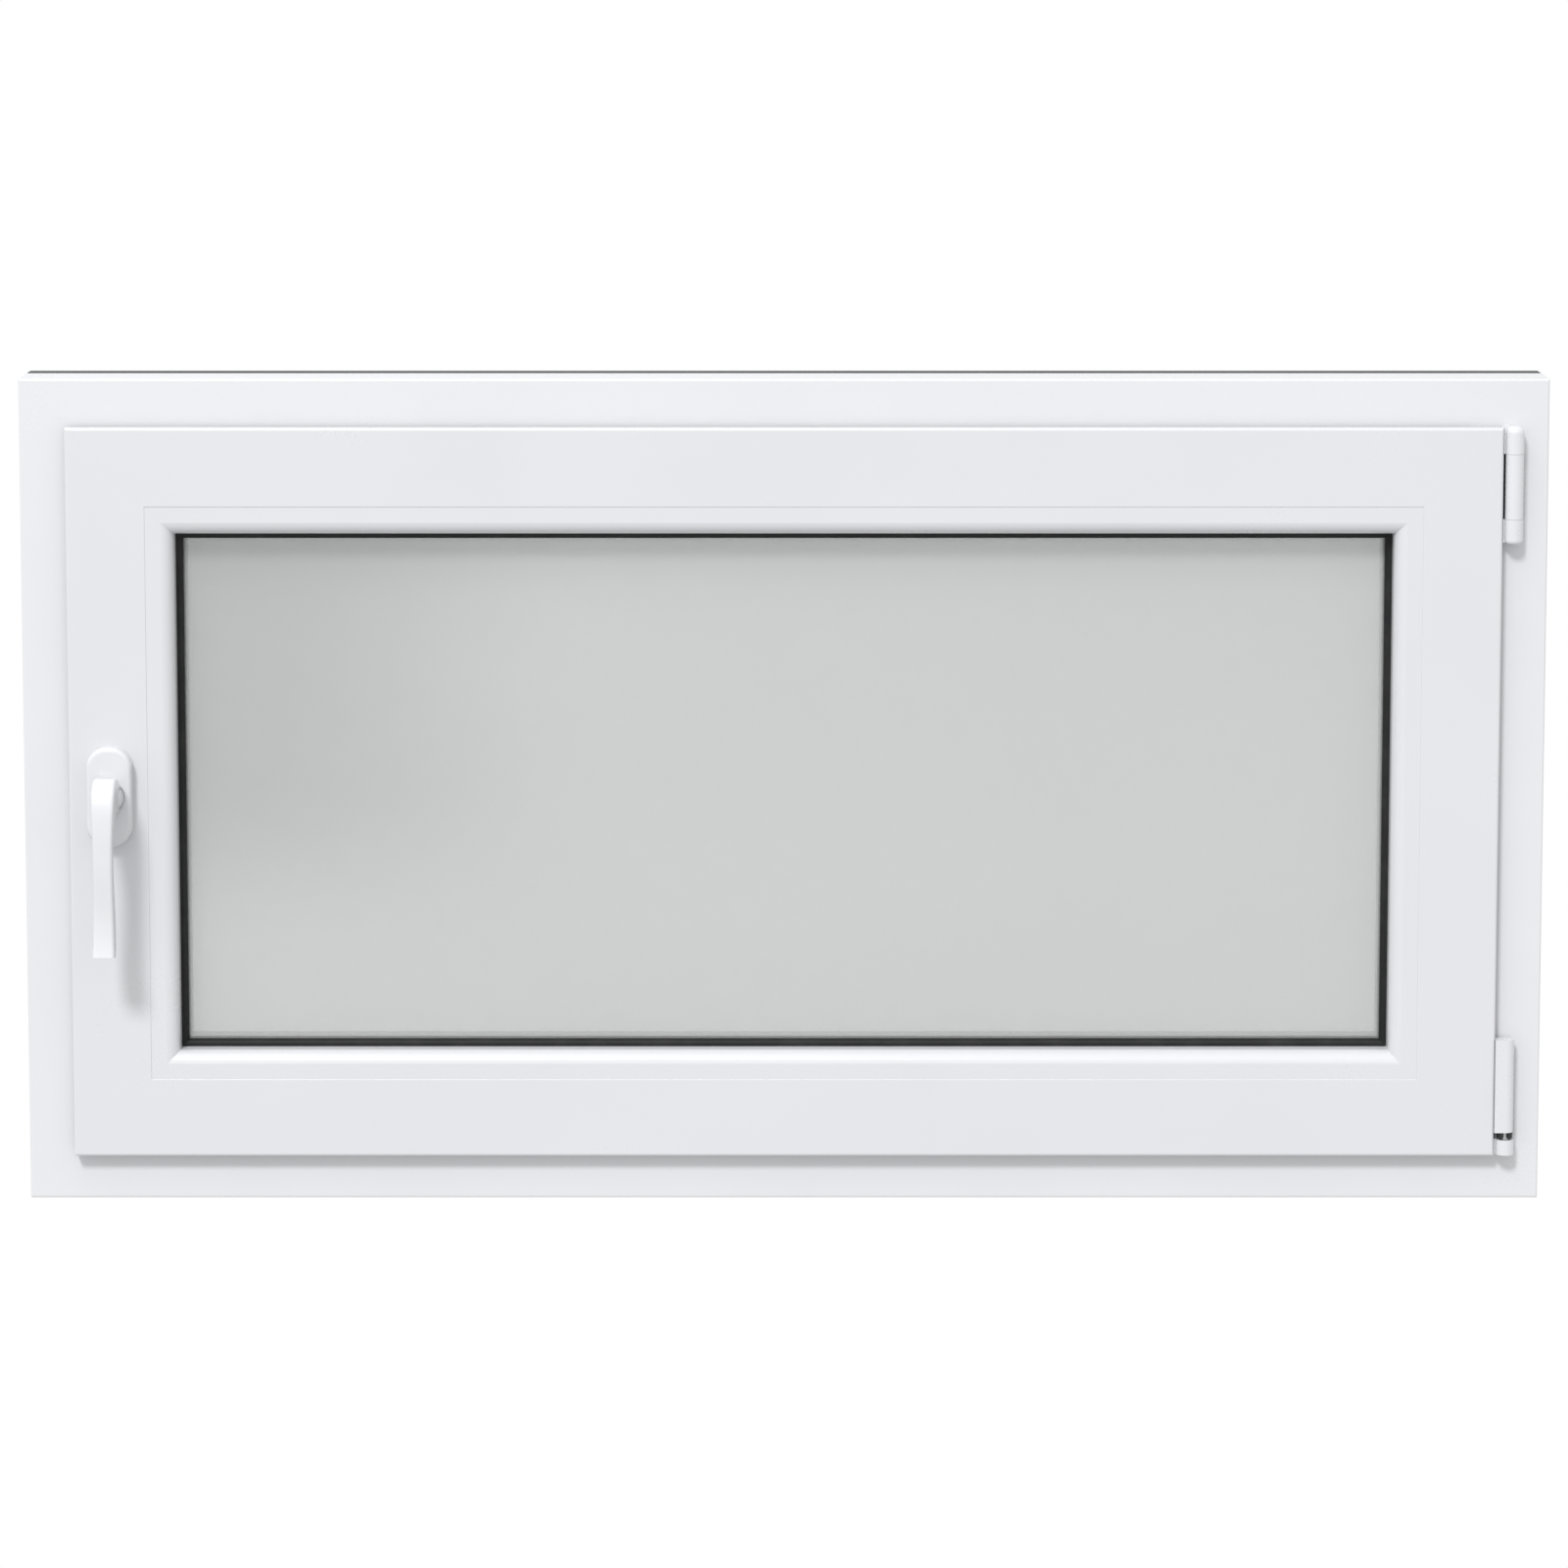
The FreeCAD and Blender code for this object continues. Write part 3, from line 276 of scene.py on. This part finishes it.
# ---- Steel cores ----
# A roll-formed tube slides into each length of profile before it is welded, and stiffens it.
# It is galvanised, with the spangle of hot-dip zinc.
core = Finish("galvanised", Metallic=0.9)
where = core.place()
spangle = core.node("ShaderNodeTexVoronoi", {}, {"Vector": where, "Scale": 140.0}, "Color")
shade = core.node("ShaderNodeSeparateColor", {}, {0: spangle}, 0)
core.put("Base Color", core.blend(shade, (0.52, 0.54, 0.56), (0.70, 0.72, 0.74)))
core.put("Roughness", shade * 0.2 + 0.35)
dress([f"frame_steel_{side}" for side in ("sill", "head", "left", "right")], core)
dress([f"sash_steel_{side}" for side in ("bottom", "top", "left", "right")], core)

# ---- Locking gear ----
# Faceplates, rods, keeps, corner drives and gearbox, stamped from steel and screwed into the grooves.
# The zinc plating is passivated, with a faint yellow-blue bloom.
PLATE_LIGHT = (0.66, 0.67, 0.68)
PLATE_DARK = (0.60, 0.60, 0.57)
ZINC_METAL = 0.95


def zinc_finish(name, light, dark, painted_shade_mask=None):
    """Plated or bright steel, painted near-black as shade where the given mask is 1."""
    zinc = Finish(name, Metallic=ZINC_METAL)
    where = zinc.place()
    bloom = zinc.noise(where, 22.0, 3.0)
    scratch = zinc.noise(where, 1400.0, 2.0, (0.05, 1, 1))
    tone = zinc.blend(bloom.step(0.3, 0.7), light, dark)
    tone = zinc.blend(scratch.step(0.62, 0.75) * 0.4, tone, [c * 0.8 for c in dark])
    if painted_shade_mask:
        # Painted shade: the masked part is painted near-black and loses its metal.
        black = painted_shade_mask(zinc, where)
        painted_shade_grain = zinc.noise(where, 900.0)
        tone = zinc.blend(black, tone, zinc.blend(painted_shade_grain, (0.012, 0.012, 0.013), (0.03, 0.03, 0.03)))
        zinc.put("Metallic", ZINC_METAL - black * ZINC_METAL)
    zinc.put("Base Color", tone)
    zinc.put("Roughness", bloom * 0.18 + scratch * 0.1 + 0.24)
    zinc.bump(scratch, 0.08, 0.0002)
    return zinc


plated = zinc_finish("zinc_plate", PLATE_LIGHT, PLATE_DARK)
dress(["faceplate_left", "faceplate_top", "faceplate_bottom", "corner_drives"], plated)
dress(["rod_left", "rod_top", "rod_bottom", "gearbox_case"], plated)
dress(["keeps_left", "keep_top", "keep_tilt", "keep_bottom", "frame_screws"], plated)
dress(["handle_screws", "handle_base"], plated)
dress(["upper_hinge_bracket", "lower_hinge_strap", "lower_hinge_bracket"], plated)

# ---- Scissor arm ----
# A stamped zinc-plated arm carries the sash's top edge on the upper hinge, and lets it tilt.
# Where it shows in the slot beside its eye, the arm is painted black: painted shade for the dark slot.
# How far the painted slot shade reaches past the sash edge and the eye cover.
SLOT_SHADE_PAST_SASH = 0.0003
SLOT_SHADE_PAST_EYE = 0.001
eye_low, eye_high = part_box("scissor_eye_cover")


# Painted shade mask: the arm beyond the sash edge, level with the eye cover.
def slot_shade_beside_eye(zinc, where):
    x, _, z = zinc.split(where)
    beyond = x > sash_half + SLOT_SHADE_PAST_SASH
    return beyond * (z > eye_low.z - SLOT_SHADE_PAST_EYE) * (z < eye_high.z + SLOT_SHADE_PAST_EYE)


dress(["scissor_arm"], zinc_finish("zinc_arm", PLATE_LIGHT, PLATE_DARK, slot_shade_beside_eye))

# ---- Pins, pinion and spindle ----
# The hinge pins, the swivel, the pinion and the handle's square spindle.
# Turned and milled from plain steel, left bright because they bear on other pieces.
bright = zinc_finish("bright_steel", (0.56, 0.57, 0.58), (0.50, 0.51, 0.52))
dress(["pinion", "spindle"], bright)
dress(["upper_hinge_pin", "lower_hinge_pin", "lower_hinge_swivel"], bright)

# ---- Handle ----
# A die-cast lever and rosette cover, held on the sash by two screws under the cover.
# The white powder coat is smooth and a little glossier than the profile.


def coat_finish(name, tone, rough):
    coat = Finish(name, IOR=1.52, Coat_Weight=0.35, Coat_Roughness=0.08)
    where = coat.place()
    ripple = coat.noise(where, 240.0, 2.0)
    cloud = coat.noise(where, 30.0)
    coat.put("Base Color", coat.blend(cloud.step(0.3, 0.7), tone, [c * 0.975 for c in tone]))
    coat.put("Roughness", ripple * 0.08 + rough)
    coat.bump(ripple, 0.008, 0.0003)
    return coat


dress(["handle_lever", "handle_rosette"], coat_finish("white_powder_coat", (0.66, 0.667, 0.687), 0.20))

# ---- Hinge covers ----
# Moulded white plastic caps push on over the two hinges.
# Their colour and gloss are matched to the profile.
caps = coat_finish("cover_plastic", (0.65, 0.657, 0.677), 0.24)
dress(["upper_hinge_covers", "lower_hinge_cover", "scissor_eye_cover", "lower_barrel_cover"], caps)

# ---- Lower hinge washer ----
# A black acetal ring between the barrel cover and the base takes the sash's weight as it turns.
# It is open towards the room, so the pin can be seen and greased.
WASHER_BORE = 0.0034
WASHER_EDGE = 0.0004
WASHER_PLAY = 0.0002
WASHER_LIFT = 0.0012
WASHER_MOUTH = math.radians(24.0)
WASHER_STEPS = 64
washer_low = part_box("lower_hinge_cover")[1].z + WASHER_LIFT
washer_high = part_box("lower_barrel_cover")[0].z - WASHER_PLAY
pin_low, pin_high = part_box("lower_hinge_pin")
pin_x = (pin_low.x + pin_high.x) / 2
pin_y = (pin_low.y + pin_high.y) / 2
washer_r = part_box("lower_barrel_cover")[1].x - pin_x - WASHER_PLAY
washer_section = (
    (WASHER_BORE, washer_low),
    (washer_r - WASHER_EDGE, washer_low),
    (washer_r, washer_low + WASHER_EDGE),
    (washer_r, washer_high - WASHER_EDGE),
    (washer_r - WASHER_EDGE, washer_high),
    (WASHER_BORE, washer_high),
)
build = bmesh.new()
rings = []
for step in range(WASHER_STEPS + 1):
    turn = WASHER_MOUTH + 2 * (math.pi - WASHER_MOUTH) * step / WASHER_STEPS
    across, forward = math.sin(turn), -math.cos(turn)
    rings.append([build.verts.new((pin_x + across * r, pin_y + forward * r, z)) for r, z in washer_section])
for first, second in zip(rings, rings[1:]):
    for k in range(len(washer_section)):
        after = (k + 1) % len(washer_section)
        build.faces.new((first[k], first[after], second[after], second[k]))
build.faces.new(rings[0][::-1])
build.faces.new(rings[-1])
bmesh.ops.recalc_face_normals(build, faces=build.faces)
washer_mesh = bpy.data.meshes.new("lower_hinge_washer")
build.to_mesh(washer_mesh)
build.free()
acetal = Finish("black_acetal", IOR=1.48)
turned = acetal.noise(acetal.place(), 900.0, 2.0, (1, 1, 6))
acetal.put("Base Color", acetal.blend(turned, (0.010, 0.010, 0.011), (0.022, 0.022, 0.023)))
acetal.put("Roughness", turned * 0.2 + 0.35)
acetal.bump(turned, 0.1, 0.0001)
washer_mesh.materials.append(acetal.material)
washer = bpy.data.objects.new("lower_hinge_washer", washer_mesh)
bpy.context.collection.objects.link(washer)
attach(washer, "sash")

# ---- Drain caps ----
# Two moulded anthracite caps snap over the drain slots outside.
# A fine spark-eroded texture keeps them matt.
cap = Finish("drain_plastic", IOR=1.49)
spark = cap.noise(cap.place(), 1500.0)
cap.put("Base Color", cap.blend(spark, (0.035, 0.037, 0.041), (0.055, 0.058, 0.062)))
cap.put("Roughness", spark * 0.2 + 0.45)
cap.bump(spark, 0.2, 0.0002)
dress(["drain_caps"], cap)

# ---- Studio ----
# White surroundings, dimmer as a light than as they are seen, and a little darker below.
# One soft key from the upper left, and a weak box above. The window hangs free.
LIGHT_ABOVE = 0.87
LIGHT_BELOW = 0.73
KEY_DIRECTION = (0.33, 1.0, -0.92)
SOFTBOX_PLACE = (-0.9, -0.5, 2.4)
SOFTBOX_DIRECTION = (0.45, 0.5, -1.9)


class Studio(Finish):
    """The surroundings' own node tree, built with the same helpers."""

    def __init__(self, name):
        self.world = bpy.data.worlds.new(name)
        self.world.use_nodes = True
        self.tree = self.world.node_tree
        self.surface = self.tree.nodes["Background"]


studio = Studio("white_studio")
seen = studio.node("ShaderNodeLightPath", {}, {}, "Is Camera Ray")
toward = studio.node("ShaderNodeTexCoord", {}, {}, "Generated")
upward = studio.node("ShaderNodeSeparateXYZ", {}, {0: toward}, "Z")
light = upward.step(-0.25, 0.05) * (LIGHT_ABOVE - LIGHT_BELOW) + LIGHT_BELOW
studio.put("Color", (1.0, 1.0, 1.0, 1.0))
studio.put("Strength", seen + (1 - seen) * light)
bpy.context.scene.world = studio.world
bpy.context.scene.view_settings.view_transform = "Standard"


def lamp(name, kind, place, toward, **settings):
    """A light at a place, shining along a direction."""
    data = bpy.data.lights.new(name, kind)
    for key, value in settings.items():
        setattr(data, key, value)
    made = bpy.data.objects.new(name, data)
    bpy.context.collection.objects.link(made)
    made.location = place
    made.rotation_mode = "QUATERNION"
    made.rotation_quaternion = Vector(toward).to_track_quat("-Z", "Y")


softbox_shape = {"shape": "RECTANGLE", "size": 2.4, "size_y": 1.2}
lamp("key", "SUN", (0, 0, 0), KEY_DIRECTION, energy=1.85, angle=math.radians(11.0))
lamp("softbox", "AREA", SOFTBOX_PLACE, SOFTBOX_DIRECTION, energy=12.0, **softbox_shape)

# ---- Camera ----
# A long lens in the room, a little above the window's head and tipped down at it.
# A small shift centres the window in the picture.
CAMERA_DISTANCE = 4.0
CAMERA_HEIGHT = 0.96
CAMERA_PITCH = math.radians(6.72)
camera_data = bpy.data.cameras.new("camera")
camera_data.sensor_width = 36.0
camera_data.lens = 128.4
camera_data.shift_y = -0.16
camera_data.clip_start = 0.1
camera_data.clip_end = 60.0
camera = bpy.data.objects.new("camera", camera_data)
bpy.context.collection.objects.link(camera)
camera.location = (0.0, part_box("frame_head")[0].y - CAMERA_DISTANCE, CAMERA_HEIGHT)
camera.rotation_euler = (math.pi / 2 - CAMERA_PITCH, 0.0, 0.0)
bpy.context.scene.camera = camera
